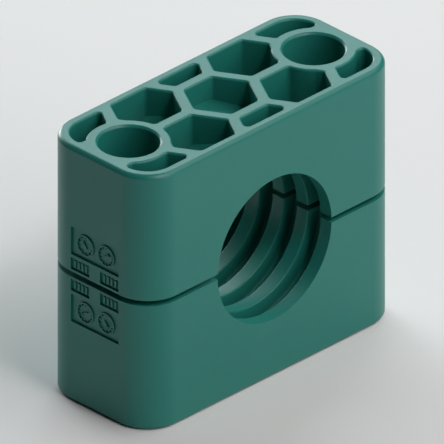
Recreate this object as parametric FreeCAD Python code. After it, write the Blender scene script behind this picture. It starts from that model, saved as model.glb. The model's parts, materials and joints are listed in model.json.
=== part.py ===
import FreeCAD, Part
import math
import os

# Hydraulic tube clamp: two identical plastic halves that close round one tube.
# X runs along the clamp, Y along the tube and Z up. The origin is the middle of the footprint,
# on the surface that the clamp stands on. All sizes are in millimetres and degrees.

# Outer form of the closed pair
LENGTH = 71.3
WIDTH = 30.0
HEIGHT = 58.4
CORNER_R = 7.9
EDGE_CHAMFER = 0.7

# Clamping gap between the halves, and the collars round the bolt holes that bridge it
GAP = 1.2
COLLAR_R = 6.0

# Bolt holes, each with a wide mouth in the outer face
BOLT_SPACING = 52.0
BOLT_HOLE_R = 3.5
BOLT_MOUTH_R = 6.2
BOLT_RIM_CHAMFER = 0.45

# Ribbed bore that grips the tube
BORE_R = 16.0
LAND_WIDTH = 3.2
GROOVE_COUNT = 4
GROOVE_DEPTH = 3.3

# Honeycomb of pockets in the outer face, with floors that curve round the bore
CELL_FLATS = 13.35
CELL_PITCH = 15.65
POCKET_CORNER_R = 1.0
SIDE_WALL = 2.2
BOLT_SLEEVE_R = 8.4
CRESCENT_TIP_Y = 6.35
FLOOR_R = 24.3
MATING_WEB = 3.0

# Recessed marking panels on the left end, with heights measured from the middle of the gap
PANEL_DEPTH = 0.5
PANEL_REACH = 6.7
LARGE_PANEL_START = 4.55
LARGE_PANEL_HEIGHT = 6.3
SMALL_PANEL_START = 1.15
SMALL_PANEL_HEIGHT = 2.6
SMALL_PANEL_WIDTH = 5.2

# Places worked out from the sizes above
MIDDLE = HEIGHT / 2
MATING_FACE = MIDDLE + GAP / 2
WEB_TOP = MATING_FACE + MATING_WEB
BOLT_X = BOLT_SPACING / 2
MOUTH_FLOOR = MIDDLE + math.sqrt(FLOOR_R ** 2 - (BOLT_X - BOLT_MOUTH_R) ** 2)
GROOVE_R = BORE_R + GROOVE_DEPTH
GROOVE_WIDTH = (WIDTH - (GROOVE_COUNT + 1) * LAND_WIDTH) / GROOVE_COUNT
CELL_RADIUS = CELL_FLATS / math.sqrt(3)
COLUMN_STEP = CELL_PITCH * math.sqrt(3) / 2

# How far a cutter runs past a face, and how near two equal sizes are
OVERRUN = 1.0
SAME = 1e-4

ALONG_X = FreeCAD.Vector(1, 0, 0)
ALONG_Y = FreeCAD.Vector(0, 1, 0)
UP = FreeCAD.Vector(0, 0, 1)
BORE_CENTRE = FreeCAD.Vector(0, 0, MIDDLE)


def rounded_rectangle(length, width, radius, z):
    """Level face with four round corners, centred on the Z axis."""
    arcs = []
    for turn, (side_x, side_y) in enumerate(((1, 1), (-1, 1), (-1, -1), (1, -1))):
        centre = FreeCAD.Vector(side_x * (length / 2 - radius), side_y * (width / 2 - radius), z)
        arcs.append(Part.makeCircle(radius, centre, UP, 90 * turn, 90 * (turn + 1)))
    edges = []
    for arc, following in zip(arcs, arcs[1:] + arcs[:1]):
        arc_end = arc.valueAt(arc.LastParameter)
        next_start = following.valueAt(following.FirstParameter)
        edges += [arc, Part.makeLine(arc_end, next_start)]
    return Part.Face(Part.Wire(edges))


def mouth_polygon(corners):
    """Face in the outer plane through the given X, Y corners."""
    points = [FreeCAD.Vector(x, y, HEIGHT) for x, y in corners]
    return Part.Face(Part.makePolygon(points + points[:1]))


def outer_block():
    """Plain body of the upper half, with round upright corners and a bevelled outer edge."""
    outline = rounded_rectangle(LENGTH, WIDTH, CORNER_R, MATING_FACE)
    block = outline.extrude(UP * (HEIGHT - MATING_FACE))
    outer_edges = [edge for edge in block.Edges if edge.BoundBox.ZMin > HEIGHT - SAME]
    return block.makeChamfer(EDGE_CHAMFER, outer_edges)


def bolt_cylinders(radius, bottom, top):
    """One upright cylinder on each bolt axis."""
    feet = [FreeCAD.Vector(side * BOLT_X, 0, bottom) for side in (-1, 1)]
    return [Part.makeCylinder(radius, top - bottom, foot, UP) for foot in feet]


def ribbed_bore():
    """Space of the tube bore: lands that hold the tube, with square grooves between them."""
    end = WIDTH / 2 + OVERRUN
    profile = [(0, -end), (BORE_R, -end)]
    for groove in range(GROOVE_COUNT):
        near = LAND_WIDTH - WIDTH / 2 + groove * (LAND_WIDTH + GROOVE_WIDTH)
        far = near + GROOVE_WIDTH
        profile += [(BORE_R, near), (GROOVE_R, near), (GROOVE_R, far), (BORE_R, far)]
    profile += [(BORE_R, end), (0, end)]
    points = [FreeCAD.Vector(radius, y, MIDDLE) for radius, y in profile]
    return Part.Face(Part.makePolygon(points + points[:1])).revolve(BORE_CENTRE, ALONG_Y, 360)


def honeycomb_cell(x, y):
    """Regular cell with two of its flats along X."""
    turns = [math.radians(60 * corner) for corner in range(6)]
    return mouth_polygon([(x + CELL_RADIUS * math.cos(turn), y + CELL_RADIUS * math.sin(turn))
                          for turn in turns])


def corner_cell(side_x, side_y):
    """Corner cell: one side keeps to the honeycomb, and the tip stops at the solid end wall."""
    def slanted_side(y):
        return 2 * COLUMN_STEP - CELL_RADIUS + (CELL_PITCH - y) / math.sqrt(3)

    edge_y = WIDTH / 2
    corners = [
        (slanted_side(CRESCENT_TIP_Y), CRESCENT_TIP_Y),
        (slanted_side(edge_y), edge_y),
        (LENGTH / 2, edge_y),
        (LENGTH / 2, CRESCENT_TIP_Y),
    ]
    return mouth_polygon([(side_x * x, side_y * y) for x, y in corners])


def pocket_mouths():
    """Outlines of all pockets in the outer plane, trimmed by the walls, with round corners."""
    cells = [honeycomb_cell(0, row * CELL_PITCH) for row in (-1, 0, 1)]
    for side_x in (-1, 1):
        for side_y in (-1, 1):
            cells.append(honeycomb_cell(side_x * COLUMN_STEP, side_y * CELL_PITCH / 2))
            cells.append(corner_cell(side_x, side_y))
    inside_walls = rounded_rectangle(
        LENGTH - 2 * SIDE_WALL, WIDTH - 2 * SIDE_WALL, CORNER_R - SIDE_WALL, HEIGHT)
    sleeves = bolt_cylinders(BOLT_SLEEVE_R, HEIGHT - OVERRUN, HEIGHT + OVERRUN)
    mouths = []
    for cell in cells:
        trimmed = cell.common(inside_walls).cut(sleeves).Faces[0]
        mouths.append(trimmed.makeOffset2D(-POCKET_CORNER_R).makeOffset2D(POCKET_CORNER_R))
    return mouths


def honeycomb_pockets():
    """Pocket spaces, which stop above the bore and above the web at the mating face."""
    over_bore = Part.makeCylinder(FLOOR_R, WIDTH, BORE_CENTRE - ALONG_Y * (WIDTH / 2), ALONG_Y)
    return [mouth.extrude(UP * (WEB_TOP - HEIGHT)).cut(over_bore) for mouth in pocket_mouths()]


def with_bolt_holes(half):
    """Adds the collars and cuts the stepped bolt holes, with bevelled rims."""
    half = half.fuse(bolt_cylinders(COLLAR_R, MIDDLE, MATING_FACE))
    half = half.cut(bolt_cylinders(BOLT_HOLE_R, MIDDLE - OVERRUN, HEIGHT)
                    + bolt_cylinders(BOLT_MOUTH_R, MOUTH_FLOOR, HEIGHT + OVERRUN))
    outer_face = max(half.Faces, key=lambda face: face.BoundBox.ZMin)
    rims = [wire for wire in outer_face.Wires if not wire.isSame(outer_face.OuterWire)]
    return half.makeChamfer(BOLT_RIM_CHAMFER, [edge for rim in rims for edge in rim.Edges])


def marking_panel(y_low, y_high, start, height):
    """Space of a shallow recess in the left end."""
    corner = FreeCAD.Vector(-LENGTH / 2 - OVERRUN, y_low, MIDDLE + start)
    return Part.makeBox(PANEL_DEPTH + OVERRUN, y_high - y_low, height, corner)


def marking_panels():
    """One large panel, with two small ones between it and the mating face."""
    inner_y = PANEL_REACH - SMALL_PANEL_WIDTH
    return [
        marking_panel(-PANEL_REACH, PANEL_REACH, LARGE_PANEL_START, LARGE_PANEL_HEIGHT),
        marking_panel(-PANEL_REACH, -inner_y, SMALL_PANEL_START, SMALL_PANEL_HEIGHT),
        marking_panel(inner_y, PANEL_REACH, SMALL_PANEL_START, SMALL_PANEL_HEIGHT),
    ]


def clamp_half():
    """One moulding, in the place of the upper half."""
    half = with_bolt_holes(outer_block())
    return half.cut(honeycomb_pockets() + [ribbed_bore()] + marking_panels())


def save_piece(name, shape):
    if len(shape.Solids) != 1 or not shape.isValid():
        raise RuntimeError(f"{name} is not one sound solid")
    shape.Solids[0].exportStep(f"parts/{name}.step")


upper_half = clamp_half()
lower_half = upper_half.copy()
lower_half.rotate(BORE_CENTRE, ALONG_X, 180)

os.makedirs("parts", exist_ok=True)
save_piece("upper_clamp_half", upper_half)
save_piece("lower_clamp_half", lower_half)
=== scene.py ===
"""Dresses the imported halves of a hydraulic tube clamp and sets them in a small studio."""

import json
import math

import bmesh
import bpy
from mathutils import Matrix, Vector


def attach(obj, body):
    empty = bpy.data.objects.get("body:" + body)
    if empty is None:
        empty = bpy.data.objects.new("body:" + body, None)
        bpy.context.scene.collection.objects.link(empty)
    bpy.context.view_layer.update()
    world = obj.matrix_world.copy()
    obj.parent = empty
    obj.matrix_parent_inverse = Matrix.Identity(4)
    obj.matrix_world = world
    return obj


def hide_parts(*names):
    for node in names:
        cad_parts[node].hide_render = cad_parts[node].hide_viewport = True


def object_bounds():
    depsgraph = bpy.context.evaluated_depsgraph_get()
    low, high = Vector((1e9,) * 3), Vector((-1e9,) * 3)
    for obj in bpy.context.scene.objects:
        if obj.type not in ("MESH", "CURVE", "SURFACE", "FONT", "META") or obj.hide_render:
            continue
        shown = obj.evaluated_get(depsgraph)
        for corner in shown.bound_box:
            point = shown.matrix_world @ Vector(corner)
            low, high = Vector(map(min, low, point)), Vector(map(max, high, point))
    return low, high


bl_info = {
    "name": "Hydraulic Tube Clamp",
    "version": (1, 0, 0),
    "blender": (4, 5, 0),
    "location": "3D View > Sidebar > Tube Clamp",
    "description": "Rounds, marks and colours the two moulded halves, and sets the studio",
    "category": "Object",
}

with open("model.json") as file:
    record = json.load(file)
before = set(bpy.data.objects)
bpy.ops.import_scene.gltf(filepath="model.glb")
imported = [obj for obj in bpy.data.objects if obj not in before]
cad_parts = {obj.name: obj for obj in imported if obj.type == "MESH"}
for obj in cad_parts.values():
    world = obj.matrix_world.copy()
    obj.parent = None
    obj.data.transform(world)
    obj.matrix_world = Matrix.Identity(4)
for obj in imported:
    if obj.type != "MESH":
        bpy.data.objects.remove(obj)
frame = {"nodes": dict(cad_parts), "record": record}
CAD_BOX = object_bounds()

MM = 0.001
HALVES = ("upper_clamp_half", "lower_clamp_half")
PLASTIC = "moulded_plastic"

# Places that come from the frame
MOUNTS = {mount["name"]: mount for mount in frame["record"]["mounts"]}
BORE = MOUNTS["tube_bore"]
MIDDLE = Vector(BORE["pos_m"])
BORE_R = BORE["dims"]["r_mm"] * MM
BOLT_X = MOUNTS["bolt_hole_right"]["pos_m"][0]
SIDE_Y = CAD_BOX[1].y
HEIGHT = CAD_BOX[1].z - CAD_BOX[0].z
OUTER_LEVEL = HEIGHT / 2
LEFT_END = CAD_BOX[0].x

# Sizes of the solid that the finish follows. A level is a distance from the middle plane.
GROOVE_R = BORE_R + 3.3 * MM
BOLT_SLEEVE_R = 8.4 * MM
INSIDE_SLEEVE_R = BOLT_SLEEVE_R - MM
POCKET_FLOOR_R = 24.3 * MM
POCKET_FLOOR_LEVEL = 3.6 * MM
POCKETS_END_X = -LEFT_END - 2.2 * MM
CRESCENT_REACH = 27.1 * MM
MOUTH_BEVEL_LEVEL = OUTER_LEVEL - 0.5 * MM
OUTER_BEVEL_LEVEL = OUTER_LEVEL - MM
PANEL_FLOOR = LEFT_END + 0.5 * MM
LARGE_PANEL_MIDDLE = 7.7 * MM
SMALL_PANEL_MIDDLE = 2.45 * MM
SMALL_PANEL_Y = 4.1 * MM

# Generic moulded marks: two date dials in each large panel and a row of bars in each small one
DIAL_SPACING = 5.8 * MM
DIAL_LINE = 0.3 * MM
DIAL_STEPS = 48
DIAL_DIVISIONS = (12, 10)
DIAL_TICK = 0.45 * MM
POINTER_INSET = 3 * DIAL_TICK
POINTER_TURNS = (math.radians(60), math.radians(-36))
ARROWHEAD_R = 1.6 * DIAL_LINE
BAR_COUNT = 4
BAR_SPACING = 1.05 * MM
BAR_WIDTH = 0.45 * MM
BAR_HEIGHT = 1.6 * MM
MARK_ROOT = 0.05 * MM

# How near two corners are when they are one, and how flat two facets are when they are one face
SAME_PLACE = 0.0005 * MM
SAME_PLANE = math.radians(0.4)

# How near a corner is to a surface that it lies on, and how far from upright a wall's facets may be
NEAR = 0.02 * MM
UPRIGHT = 0.01

# The edges of a bevel turn by more than a fold, and square edges by more than a corner. What is
# sharper than a fold stays sharp in the shading.
FOLD = math.radians(35)
CORNER = math.radians(60)

# Noises in the plastic and the paper: cells per metre, and detail
CLOUDS = (90.0, 2.0)
SATIN_SKIN = (5200.0, 2.0)
FLOW_WAVES = (160.0, 1.0)
PAPER_TOOTH = (900.0, 2.0)

# Relief of the plastic: the skin's share against the waves, the height and the strength
SKIN_SHARE = 0.35
RELIEF_HEIGHT = 0.04 * MM
RELIEF_STRENGTH = 0.12

# Gloss of the plastic and the paper, and how much paler the paper's tooth is
ROUGHNESS_SPREAD = 0.08
PLASTIC_IOR = 1.49
PLASTIC_SPECULAR = 0.4
PAPER_ROUGHNESS = 0.9
PAPER_PALER = 1.02

# Sockets of a Mix node that mixes colours: the two colours and the result
MIX_FIRST = 6
MIX_SECOND = 7
MIX_RESULT = 2

# The photograph's width and scale, and the camera that matches it, in pixels, degrees and metres
PHOTO_PIXELS = 444
PIXELS_PER_METRE = 5031.2
CAMERA_AZIMUTH = -45
CAMERA_ELEVATION = 30
CAMERA_SIDESTEP = 0.706 / PIXELS_PER_METRE
CAMERA_DISTANCE = 0.5
CAMERA_CLIP = (0.01, 10.0)

# Floor and softboxes, in metres and degrees. Each softbox has the name of the setting that holds
# its power, its azimuth, elevation, width and height, and its colour.
FLOOR_REACH = 2.0
SOFTBOX_DISTANCE = 0.8
WHITE = (1.0, 1.0, 1.0)
COOL = (0.87, 0.97, 1.0)
SOFTBOXES = (
    ("back_light", 148, 35, 1.0, 0.4, COOL),
    ("front_light", 8, 36, 0.6, 0.9, WHITE),
    ("right_light", 64, 50, 0.5, 0.4, WHITE),
    ("corner_light", -2, 56, 0.12, 0.12, WHITE),
    ("rim_light", 165, 6, 0.3, 0.16, WHITE),
)


class ClampSizes(bpy.types.PropertyGroup):
    """Small sizes of the moulding's finish."""

    rim_rounding: bpy.props.FloatProperty(
        name="Pocket rims", description="Rounding of the honeycomb pockets' rims",
        default=0.5 * MM, min=0.0, unit="LENGTH", subtype="DISTANCE")
    wall_finish: bpy.props.FloatProperty(
        name="Pocket walls", description="How much closer the pockets' walls stand than in the solid",
        default=0.15 * MM, min=0.0, unit="LENGTH", subtype="DISTANCE")
    crescent_finish: bpy.props.FloatProperty(
        name="Crescent walls", description="How much closer the walls of the corner crescents stand",
        default=0.25 * MM, min=0.0, unit="LENGTH", subtype="DISTANCE")
    outer_rounding: bpy.props.FloatProperty(
        name="Outer edge", description="Rounding on each side of the bevelled outer edge",
        default=0.3 * MM, min=0.0, unit="LENGTH", subtype="DISTANCE")
    mouth_rounding: bpy.props.FloatProperty(
        name="Bolt mouths", description="Rounding on each side of the bolt mouths' bevel",
        default=0.1 * MM, min=0.0, unit="LENGTH", subtype="DISTANCE")
    crisp_rounding: bpy.props.FloatProperty(
        name="Crisp edges", description="Rounding of the bore, gap and panel edges",
        default=0.05 * MM, min=0.0, unit="LENGTH", subtype="DISTANCE")
    land_rounding: bpy.props.FloatProperty(
        name="Lands", description="Rounding of the edges of the lands that grip the tube",
        default=0.25 * MM, min=0.0, unit="LENGTH", subtype="DISTANCE")
    root_rounding: bpy.props.FloatProperty(
        name="Groove roots", description="Rounding where the bore's grooves meet their sides",
        default=0.15 * MM, min=0.0, unit="LENGTH", subtype="DISTANCE")
    mark_height: bpy.props.FloatProperty(
        name="Mark height", description="How far the moulded marks stand out of their panels",
        default=0.3 * MM, min=0.0, unit="LENGTH", subtype="DISTANCE")
    dial_radius: bpy.props.FloatProperty(
        name="Date dials", description="Outer radius of the two date dials",
        default=2.35 * MM, min=0.0, unit="LENGTH", subtype="DISTANCE")


class PlasticLook(bpy.types.PropertyGroup):
    """Colours and gloss of the green plastic."""

    colour: bpy.props.FloatVectorProperty(
        name="Plastic", description="Main colour of the polypropylene",
        default=(0.017, 0.195, 0.161), size=3, min=0.0, max=1.0, subtype="COLOR")
    cloud_colour: bpy.props.FloatVectorProperty(
        name="Clouding", description="Colour of the faint clouds in the plastic",
        default=(0.014, 0.182, 0.149), size=3, min=0.0, max=1.0, subtype="COLOR")
    roughness: bpy.props.FloatProperty(
        name="Roughness", description="Roughness of the moulded skin",
        default=0.38, min=0.0, max=1.0, subtype="FACTOR")


class StudioLook(bpy.types.PropertyGroup):
    """Floor and lights."""

    floor_colour: bpy.props.FloatVectorProperty(
        name="Floor", description="Colour of the floor",
        default=(0.76, 0.74, 0.735), size=3, min=0.0, max=1.0, subtype="COLOR")
    sky: bpy.props.FloatProperty(
        name="Room light", description="Strength of the even light from all round",
        default=0.015, min=0.0)
    back_light: bpy.props.FloatProperty(
        name="Back softbox", description="Power of the wide softbox behind, which gives the sheen",
        default=4.7, min=0.0, unit="POWER")
    front_light: bpy.props.FloatProperty(
        name="Front softbox", description="Power of the large softbox before the front face",
        default=3.1, min=0.0, unit="POWER")
    right_light: bpy.props.FloatProperty(
        name="Right softbox", description="Power of the softbox high on the right",
        default=1.8, min=0.0, unit="POWER")
    corner_light: bpy.props.FloatProperty(
        name="Corner lamp", description="Power of the small high lamp that glints on the front corner",
        default=1.1, min=0.0, unit="POWER")
    rim_light: bpy.props.FloatProperty(
        name="Rim softbox", description="Power of the low softbox behind, which glints on the rims",
        default=2.8, min=0.0, unit="POWER")


def level(point):
    """Distance of a point from the middle plane between the halves."""
    return abs(point.z - MIDDLE.z)


def bolt_distance(point):
    """Distance of a point from the nearer bolt's axis."""
    return math.hypot(abs(point.x) - BOLT_X, point.y)


def bore_distance(point):
    """Distance of a point from the axis of the bore."""
    return math.hypot(point.x, point.z - MIDDLE.z)


def fold_angle(edge):
    """Angle between an edge's two faces, or 0 for an open edge."""
    return edge.calc_face_angle(0.0)


def is_pocket_rim(edge):
    """Square edge of a honeycomb pocket in the outer face."""
    return (fold_angle(edge) > CORNER
            and all(abs(level(vert.co) - OUTER_LEVEL) < NEAR for vert in edge.verts))


def is_pocket_wall(face):
    """Upright face inside the honeycomb, and not in a bolt hole, a panel or the outside."""
    return abs(face.normal.z) < UPRIGHT and all(
        level(vert.co) > POCKET_FLOOR_LEVEL - NEAR
        and bore_distance(vert.co) > POCKET_FLOOR_R - NEAR
        and bolt_distance(vert.co) > BOLT_SLEEVE_R - NEAR
        and abs(vert.co.x) < POCKETS_END_X + NEAR
        for vert in face.verts)


def is_in_crescent(point):
    """Whether a point is past the slanted side of the crescent pockets at the corners."""
    return abs(point.x) + abs(point.y) / math.sqrt(3) > CRESCENT_REACH


def is_bolt_mouth(edge):
    """Edge of the bevel round a bolt mouth."""
    return (fold_angle(edge) > FOLD
            and all(level(vert.co) > MOUTH_BEVEL_LEVEL
                    and bolt_distance(vert.co) < INSIDE_SLEEVE_R for vert in edge.verts))


def is_outer_edge(edge):
    """Edge of the bevel round the outer face."""
    return (FOLD < fold_angle(edge) < CORNER
            and all(level(vert.co) > OUTER_BEVEL_LEVEL for vert in edge.verts))


def is_land_edge(edge):
    """Edge between a land and the groove beside it, and not the bore's rim in an outer side."""
    return (fold_angle(edge) > CORNER and edge.is_convex
            and all(abs(bore_distance(vert.co) - BORE_R) < NEAR
                    and abs(vert.co.y) < SIDE_Y - NEAR for vert in edge.verts)
            and abs(edge.verts[0].co.y - edge.verts[1].co.y) < NEAR)


def is_groove_root(edge):
    """Inward corner where a groove's floor meets its side."""
    return (fold_angle(edge) > CORNER and not edge.is_convex
            and all(abs(bore_distance(vert.co) - GROOVE_R) < NEAR for vert in edge.verts))


def is_groove_end(edge):
    """Edge of a groove in the mating face, where the rounded roots leave no room."""
    return all(BORE_R - MM < bore_distance(vert.co) < GROOVE_R + MM
               and abs(vert.co.y) < SIDE_Y - NEAR and level(vert.co) < MM for vert in edge.verts)


def is_crisp_edge(edge):
    """Outward square edge away from the outer face, and not in a pocket or a bolt hole."""
    return (edge.is_convex and fold_angle(edge) > CORNER and not is_groove_end(edge)
            and all(level(vert.co) < OUTER_BEVEL_LEVEL and bolt_distance(vert.co) > INSIDE_SLEEVE_R
                    for vert in edge.verts))


# Roundings of a half, in the order in which they are made: the test that finds the edges, the
# setting that holds the size, the segments, and whether the full size is kept for all edges
ROUNDINGS = (
    (is_groove_root, "root_rounding", 3, False),
    (is_land_edge, "land_rounding", 3, False),
    (is_crisp_edge, "crisp_rounding", 2, True),
    (is_pocket_rim, "rim_rounding", 4, True),
    (is_bolt_mouth, "mouth_rounding", 2, False),
    (is_outer_edge, "outer_rounding", 3, False),
)


def bevel_where(mesh, test, size, segments, full_size):
    """Rounds every edge of a mesh that passes a test. Unless the full size is asked for, all are
    rounded by less where one of them has no room."""
    edges = [edge for edge in mesh.edges if len(edge.link_faces) == 2 and test(edge)]
    if not edges:
        raise RuntimeError(f"no edge to round for {test.__name__}")
    bmesh.ops.bevel(
        mesh, geom=edges, offset=size, offset_type="OFFSET", segments=segments, profile=0.5,
        affect="EDGES", clamp_overlap=not full_size, material=-1)


def move_walls(mesh, sizes):
    """Moves the walls of the pockets inwards, and keeps their corners together."""
    moves = {}
    for vert in mesh.verts:
        sides = [face.normal for face in vert.link_faces if is_pocket_wall(face)]
        if sides:
            inward = sum(sides, Vector()).normalized()
            distance = sizes.crescent_finish if is_in_crescent(vert.co) else sizes.wall_finish
            moves[vert] = inward * (distance / min(inward.dot(side) for side in sides))
    if not moves:
        raise RuntimeError("no pocket wall found")
    for vert, move in moves.items():
        vert.co += move


def shade(mesh):
    """Smooth faces, with the folds that are left kept sharp."""
    for face in mesh.faces:
        face.smooth = True
    for edge in mesh.edges:
        edge.smooth = fold_angle(edge) < FOLD


def new_piece(name, mesh, material):
    """Turns a bmesh into an object of the clamp, which moves with it."""
    data = bpy.data.meshes.new(name)
    mesh.to_mesh(data)
    mesh.free()
    data.materials.append(material)
    piece = bpy.data.objects.new(name, data)
    bpy.context.scene.collection.objects.link(piece)
    even = piece.modifiers.new("even_shading", "WEIGHTED_NORMAL")
    even.keep_sharp = True
    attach(piece, "root")
    return piece


def rounded_half(node, sizes):
    """Copy of a packed half with its facets merged, its pocket walls moved and its edges rounded."""
    mesh = bmesh.new()
    mesh.from_mesh(frame["nodes"][node].data)
    bmesh.ops.remove_doubles(mesh, verts=mesh.verts, dist=SAME_PLACE)
    bmesh.ops.dissolve_limit(
        mesh, angle_limit=SAME_PLANE, use_dissolve_boundaries=False,
        verts=mesh.verts, edges=mesh.edges)
    move_walls(mesh, sizes)
    for test, rounding, segments, full_size in ROUNDINGS:
        bevel_where(mesh, test, getattr(sizes, rounding), segments, full_size)
    bmesh.ops.remove_doubles(mesh, verts=mesh.verts, dist=SAME_PLACE)
    shade(mesh)
    return mesh


def add_block(mesh, place, size):
    """Adds a box of the given size at a place, which is a matrix."""
    bmesh.ops.create_cube(mesh, size=1.0, matrix=place @ Matrix.Diagonal((*size, 1.0)))


def add_ring(mesh, centre, radius, width, depth):
    """Adds a square-edged ring that lies flat on the left end."""
    corners = [mesh.verts.new(centre + Vector((side * depth / 2, 0, radius - inward)))
               for side, inward in ((-1, 0), (1, 0), (1, width), (-1, width))]
    outline = [mesh.edges.new(ends) for ends in zip(corners, corners[1:] + corners[:1])]
    bmesh.ops.spin(
        mesh, geom=[*corners, *outline], cent=centre, axis=(1, 0, 0),
        angle=math.tau, steps=DIAL_STEPS, use_merge=True)


def add_dial(mesh, centre, sizes, divisions, pointer_turn, depth):
    """Adds a date dial: a ring, its ticks, and a pointer that is a bar with an arrowhead."""
    radius = sizes.dial_radius
    add_ring(mesh, centre, radius, DIAL_LINE, depth)
    for step in range(divisions):
        turn = Matrix.Rotation(math.tau * step / divisions, 4, "X")
        outward = Matrix.Translation((0, 0, radius - DIAL_LINE - DIAL_TICK / 2))
        add_block(mesh, Matrix.Translation(centre) @ turn @ outward,
                  (depth, DIAL_LINE / 2, DIAL_TICK))
    pointer = Matrix.Translation(centre) @ Matrix.Rotation(pointer_turn, 4, "X")
    reach = radius - POINTER_INSET
    add_block(mesh, pointer, (depth, DIAL_LINE, 2 * reach - DIAL_TICK))
    tip = Matrix.Translation((0, 0, reach - DIAL_TICK / 2)) @ Matrix.Rotation(math.pi / 2, 4, "Y")
    bmesh.ops.create_cone(
        mesh, cap_ends=True, segments=3, radius1=ARROWHEAD_R, radius2=ARROWHEAD_R, depth=depth,
        matrix=pointer @ tip)


def moulded_marks(sizes):
    """Raised marks in the three panels of the upper half."""
    mesh = bmesh.new()
    depth = sizes.mark_height + MARK_ROOT
    x = PANEL_FLOOR + MARK_ROOT - depth / 2
    for side, divisions, turn in zip((-1, 1), DIAL_DIVISIONS, POINTER_TURNS):
        centre = Vector((x, side * DIAL_SPACING / 2, MIDDLE.z + LARGE_PANEL_MIDDLE))
        add_dial(mesh, centre, sizes, divisions, turn, depth)
        for bar in range(BAR_COUNT):
            y = side * SMALL_PANEL_Y + (bar - (BAR_COUNT - 1) / 2) * BAR_SPACING
            place = Matrix.Translation((x, y, MIDDLE.z + SMALL_PANEL_MIDDLE))
            add_block(mesh, place, (depth, BAR_WIDTH, BAR_HEIGHT))
    bmesh.ops.recalc_face_normals(mesh, faces=mesh.faces)
    shade(mesh)
    return mesh


class Socket:
    """A node's output that takes part in Python arithmetic by adding Math nodes."""

    def __init__(self, look, socket):
        self.look = look
        self.socket = socket

    def maths(self, operation, first, second):
        """Math node on two sockets or numbers."""
        return self.look.node("ShaderNodeMath", {"operation": operation}, {0: first, 1: second})

    def __add__(self, other):
        return self.maths("ADD", self, other)

    def __mul__(self, other):
        return self.maths("MULTIPLY", self, other)

    __radd__ = __add__
    __rmul__ = __mul__


class Look:
    """A material and its nodes."""

    def __init__(self, name):
        self.material = bpy.data.materials.new(name)
        self.material.use_nodes = True
        self.tree = self.material.node_tree
        self.tree.nodes.clear()

    def node(self, kind, settings=None, inputs=None, output=0):
        """Adds a node, sets it up, fills its inputs with values or links, and gives an output."""
        node = self.tree.nodes.new(kind)
        for name, value in (settings or {}).items():
            setattr(node, name, value)
        for name, value in (inputs or {}).items():
            if isinstance(value, Socket):
                self.tree.links.new(value.socket, node.inputs[name])
            else:
                node.inputs[name].default_value = value
        return Socket(self, node.outputs[output]) if len(node.outputs) else None

    def noise(self, place, scale, detail):
        """Soft noise in object space. The scale is in cells per metre."""
        return self.node("ShaderNodeTexNoise", None,
                         {"Vector": place, "Scale": scale, "Detail": detail}, "Fac")

    def blend(self, factor, first, second):
        """Colour between two colours, by a factor that runs over the surface."""
        return self.node(
            "ShaderNodeMix", {"data_type": "RGBA"},
            {"Factor": factor, MIX_FIRST: (*first, 1.0), MIX_SECOND: (*second, 1.0)}, MIX_RESULT)

    def finish(self, shader):
        """Sends a shader to the surface and gives the material."""
        self.node("ShaderNodeOutputMaterial", None, {"Surface": shader})
        return self.material


def moulded_plastic(plastic):
    """Green polypropylene: faint clouds, a fine satin skin and slight flow waves."""
    look = Look(PLASTIC)
    place = look.node("ShaderNodeTexCoord", output="Object")
    clouds = look.noise(place, *CLOUDS)
    skin = look.noise(place, *SATIN_SKIN)
    waves = look.noise(place, *FLOW_WAVES)
    bump = look.node("ShaderNodeBump", None, {
        "Strength": RELIEF_STRENGTH,
        "Distance": RELIEF_HEIGHT,
        "Height": skin * SKIN_SHARE + waves,
    })
    return look.finish(look.node("ShaderNodeBsdfPrincipled", None, {
        "Base Color": look.blend(clouds, plastic.colour, plastic.cloud_colour),
        "Roughness": clouds * ROUGHNESS_SPREAD + (plastic.roughness - ROUGHNESS_SPREAD / 2),
        "Normal": bump,
        "IOR": PLASTIC_IOR,
        "Specular IOR Level": PLASTIC_SPECULAR,
    }))


def floor_paper(studio):
    """Pale studio paper with a faint tooth."""
    look = Look("pale_paper")
    place = look.node("ShaderNodeTexCoord", output="Object")
    tooth = look.noise(place, *PAPER_TOOTH)
    paler = tuple(channel * PAPER_PALER for channel in studio.floor_colour)
    return look.finish(look.node("ShaderNodeBsdfPrincipled", None, {
        "Base Color": look.blend(tooth, studio.floor_colour, paler),
        "Roughness": PAPER_ROUGHNESS,
    }))


def lay_floor(studio):
    """Flat sheet of paper under the clamp."""
    mesh = bmesh.new()
    bmesh.ops.create_grid(mesh, x_segments=1, y_segments=1, size=FLOOR_REACH)
    data = bpy.data.meshes.new("floor")
    mesh.to_mesh(data)
    mesh.free()
    data.materials.append(floor_paper(studio))
    floor = bpy.data.objects.new("floor", data)
    bpy.context.scene.collection.objects.link(floor)


def towards(azimuth, elevation):
    """Direction from the clamp, for angles in degrees: azimuth 0 is the front and 90 the right end."""
    azimuth, elevation = math.radians(azimuth), math.radians(elevation)
    return Vector((math.sin(azimuth) * math.cos(elevation),
                   -math.cos(azimuth) * math.cos(elevation),
                   math.sin(elevation)))


def hang_softbox(name, direction, size, colour, power):
    """Area light that faces the middle of the clamp."""
    light = bpy.data.lights.new(name, "AREA")
    light.shape = "RECTANGLE"
    light.size, light.size_y = size
    light.color = colour
    light.energy = power
    softbox = bpy.data.objects.new(name, light)
    softbox.matrix_world = Matrix.LocRotScale(
        MIDDLE + direction * SOFTBOX_DISTANCE, (-direction).to_track_quat("-Z", "Y"), None)
    bpy.context.scene.collection.objects.link(softbox)


def light_room(strength):
    """Even white light from all round."""
    world = bpy.data.worlds.new("room")
    world.use_nodes = True
    background = world.node_tree.nodes["Background"]
    background.inputs["Color"].default_value = (*WHITE, 1.0)
    background.inputs["Strength"].default_value = strength
    bpy.context.scene.world = world


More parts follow.
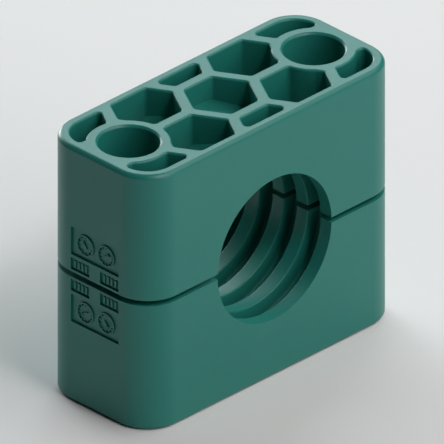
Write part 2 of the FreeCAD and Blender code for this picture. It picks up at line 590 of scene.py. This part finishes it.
def place_camera():
    """Orthographic camera at the photograph's angle and scale."""
    direction = towards(CAMERA_AZIMUTH, CAMERA_ELEVATION)
    turn = (-direction).to_track_quat("-Z", "Y")
    sidestep = turn @ Vector((CAMERA_SIDESTEP, 0, 0))
    data = bpy.data.cameras.new("camera")
    data.type = "ORTHO"
    data.ortho_scale = PHOTO_PIXELS / PIXELS_PER_METRE
    data.clip_start, data.clip_end = CAMERA_CLIP
    camera = bpy.data.objects.new("camera", data)
    camera.matrix_world = Matrix.LocRotScale(
        MIDDLE + direction * CAMERA_DISTANCE + sidestep, turn, None)
    bpy.context.scene.collection.objects.link(camera)
    bpy.context.scene.camera = camera


class CLAMP_OT_dress_halves(bpy.types.Operator):
    """Copies both packed halves, rounds their edges and gives them the moulded plastic"""

    bl_idname = "clamp.dress_halves"
    bl_label = "Dress the halves"

    def execute(self, context):
        material = moulded_plastic(context.scene.plastic_look)
        for node in HALVES:
            mesh = rounded_half(node, context.scene.clamp_sizes)
            piece = new_piece(node.replace("clamp_half", "moulding"), mesh, material)
            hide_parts(node)
        return {"FINISHED"}


class CLAMP_OT_add_marks(bpy.types.Operator):
    """Adds the generic moulded marks in the panels of the left end"""

    bl_idname = "clamp.add_marks"
    bl_label = "Add the marks"

    def execute(self, context):
        material = bpy.data.materials[PLASTIC]
        for name, turn in (("upper_marks", 0.0), ("lower_marks", math.pi)):
            mesh = moulded_marks(context.scene.clamp_sizes)
            bmesh.ops.rotate(mesh, verts=mesh.verts, cent=MIDDLE,
                             matrix=Matrix.Rotation(turn, 3, "X"))
            new_piece(name, mesh, material)
        return {"FINISHED"}


class CLAMP_OT_set_studio(bpy.types.Operator):
    """Adds the floor, the softboxes, the room light and the camera"""

    bl_idname = "clamp.set_studio"
    bl_label = "Set the studio"

    def execute(self, context):
        studio = context.scene.studio_look
        lay_floor(studio)
        for name, azimuth, elevation, width, height, colour in SOFTBOXES:
            hang_softbox(name, towards(azimuth, elevation), (width, height), colour,
                         getattr(studio, name))
        light_room(studio.sky)
        place_camera()
        context.scene.view_settings.view_transform = "Standard"
        return {"FINISHED"}


class CLAMP_PT_panel(bpy.types.Panel):
    """Lists the steps and settings of the tube clamp"""

    bl_idname = "CLAMP_PT_panel"
    bl_label = "Tube clamp"
    bl_space_type = "VIEW_3D"
    bl_region_type = "UI"
    bl_category = "Tube Clamp"

    def draw(self, context):
        for step in STEPS:
            self.layout.operator(step.bl_idname)
        for settings in (context.scene.clamp_sizes, context.scene.plastic_look,
                         context.scene.studio_look):
            box = self.layout.box()
            for name in settings.__annotations__:
                box.prop(settings, name)


STEPS = (CLAMP_OT_dress_halves, CLAMP_OT_add_marks, CLAMP_OT_set_studio)
SETTINGS = {"clamp_sizes": ClampSizes, "plastic_look": PlasticLook, "studio_look": StudioLook}
CLASSES = (*SETTINGS.values(), *STEPS, CLAMP_PT_panel)


def register():
    for each in CLASSES:
        bpy.utils.register_class(each)
    for name, group in SETTINGS.items():
        setattr(bpy.types.Scene, name, bpy.props.PointerProperty(type=group))


def unregister():
    for name in SETTINGS:
        delattr(bpy.types.Scene, name)
    for each in reversed(CLASSES):
        bpy.utils.unregister_class(each)


def main():
    register()
    bpy.ops.clamp.dress_halves()
    bpy.ops.clamp.add_marks()
    bpy.ops.clamp.set_studio()


if __name__ == "__main__":
    main()
